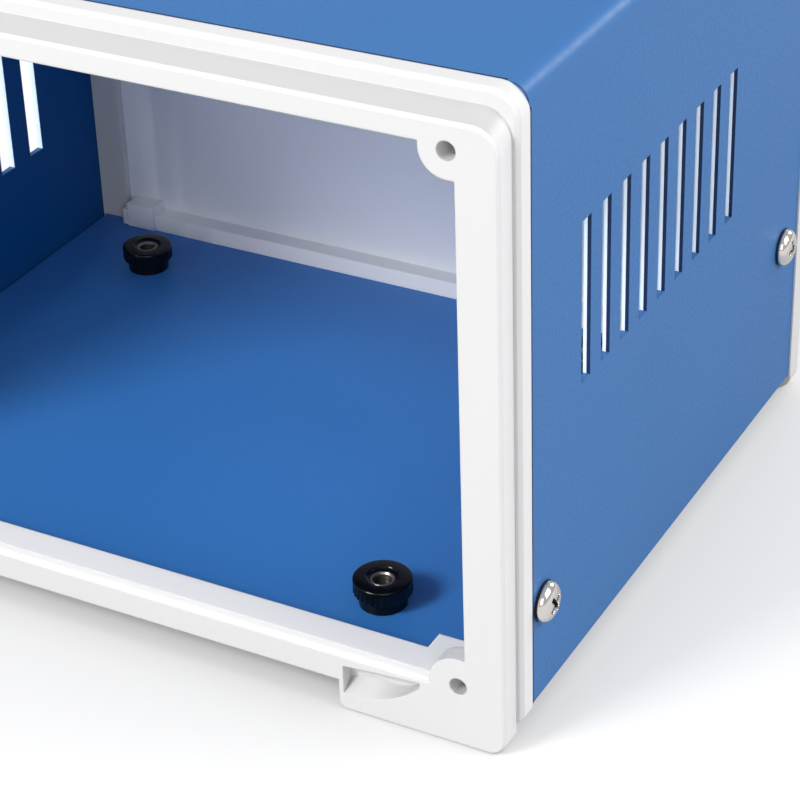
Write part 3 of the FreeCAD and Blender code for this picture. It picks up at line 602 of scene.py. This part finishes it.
def make_floor():
    """Large plain floor under the feet."""
    mesh = bpy.data.meshes.new("studio_floor")
    corners = [(x * FLOOR_REACH, y * FLOOR_REACH, 0.0) for x, y in ((-1, -1), (1, -1), (1, 1), (-1, 1))]
    mesh.from_pydata(corners, [], [(0, 1, 2, 3)])
    floor = bpy.data.objects.new("studio_floor", mesh)
    scene.collection.objects.link(floor)
    material, shader = new_material("studio_floor")
    nodes, links = material.node_tree.nodes, material.node_tree.links
    path = nodes.new("ShaderNodeLightPath")
    mirrored = add_math(material, "MULTIPLY", path.outputs["Is Glossy Ray"], FLOOR_GLOW_MIRRORED)
    seen = add_math(material, "MAXIMUM", path.outputs["Is Camera Ray"], mirrored)
    shader.inputs["Base Color"].default_value = (0.44, 0.44, 0.44, 1.0)
    # Painted contact shade: the camera-seen glow dims where the case crowds the floor
    nearness = nodes.new("ShaderNodeAmbientOcclusion")
    nearness.samples = 8
    nearness.inputs["Distance"].default_value = FLOOR_SHADE_REACH
    openness = add_math(material, "POWER", nearness.outputs["AO"], FLOOR_SHADE_POWER)
    glow = add_math(material, "MULTIPLY", openness, FLOOR_GLOW)
    shader.inputs["Emission Color"].default_value = (1.0, 1.0, 1.0, 1.0)
    links.new(add_math(material, "MULTIPLY", seen, glow), shader.inputs["Emission Strength"])
    shader.inputs["Roughness"].default_value = 0.9
    shader.inputs["Specular IOR Level"].default_value = 0.0
    mesh.materials.append(material)


def add_area_light(name, place, target, size, power):
    """Square soft light aimed at a point."""
    light = bpy.data.lights.new(name, "AREA")
    light.shape = "SQUARE"
    light.size = size
    light.energy = power
    lamp = bpy.data.objects.new(name, light)
    lamp.location = place
    direction = Vector(target) - Vector(place)
    lamp.rotation_mode = "QUATERNION"
    lamp.rotation_quaternion = direction.to_track_quat("-Z", "Y")
    scene.collection.objects.link(lamp)


def make_world(level):
    """Even pale surroundings."""
    world = bpy.data.worlds.new("studio")
    world.use_nodes = True
    background = world.node_tree.nodes["Background"]
    background.inputs["Color"].default_value = (1.0, 1.0, 1.0, 1.0)
    background.inputs["Strength"].default_value = level
    scene.world = world


# Name, place, size and power of each light
LIGHTS = (
    ("key_light", (-0.55, -1.12, 0.98), 0.45, 17.0),
    ("front_light", (-0.45, -1.35, 0.32), 0.6, 5.5),
    ("side_light", (1.25, 0.15, 0.95), 0.9, 16.5),
    ("fill_light", (0.75, -1.15, 0.60), 0.8, 3.2),
    ("bend_light", (0.62, 1.35, 0.62), 0.35, 7.0),
)
WORLD_LEVEL = 0.45

make_floor()
make_world(WORLD_LEVEL)
for light_name, light_place, light_size, light_power in LIGHTS:
    add_area_light(light_name, light_place, (cad_low + cad_high) / 2.0, light_size, light_power)


# Camera
def make_camera():
    """Camera from its place and angles."""
    ahead = Vector((math.sin(CAMERA_AZIMUTH) * math.cos(CAMERA_ELEVATION),
                    math.cos(CAMERA_AZIMUTH) * math.cos(CAMERA_ELEVATION),
                    math.sin(CAMERA_ELEVATION)))
    level_right = Vector((math.cos(CAMERA_AZIMUTH), -math.sin(CAMERA_AZIMUTH), 0.0))
    level_up = level_right.cross(ahead)
    right = level_right * math.cos(CAMERA_ROLL) + level_up * math.sin(CAMERA_ROLL)
    up = level_up * math.cos(CAMERA_ROLL) - level_right * math.sin(CAMERA_ROLL)
    data = bpy.data.cameras.new("photo_camera")
    data.sensor_width = 36.0
    data.lens = CAMERA_LENS
    data.clip_start = 0.01
    data.clip_end = 30.0
    camera = bpy.data.objects.new("photo_camera", data)
    camera.matrix_world = Matrix((
        (right.x, up.x, -ahead.x, CAMERA_PLACE.x),
        (right.y, up.y, -ahead.y, CAMERA_PLACE.y),
        (right.z, up.z, -ahead.z, CAMERA_PLACE.z),
        (0.0, 0.0, 0.0, 1.0)))
    scene.collection.objects.link(camera)
    scene.camera = camera


make_camera()
scene.view_settings.view_transform = "Standard"
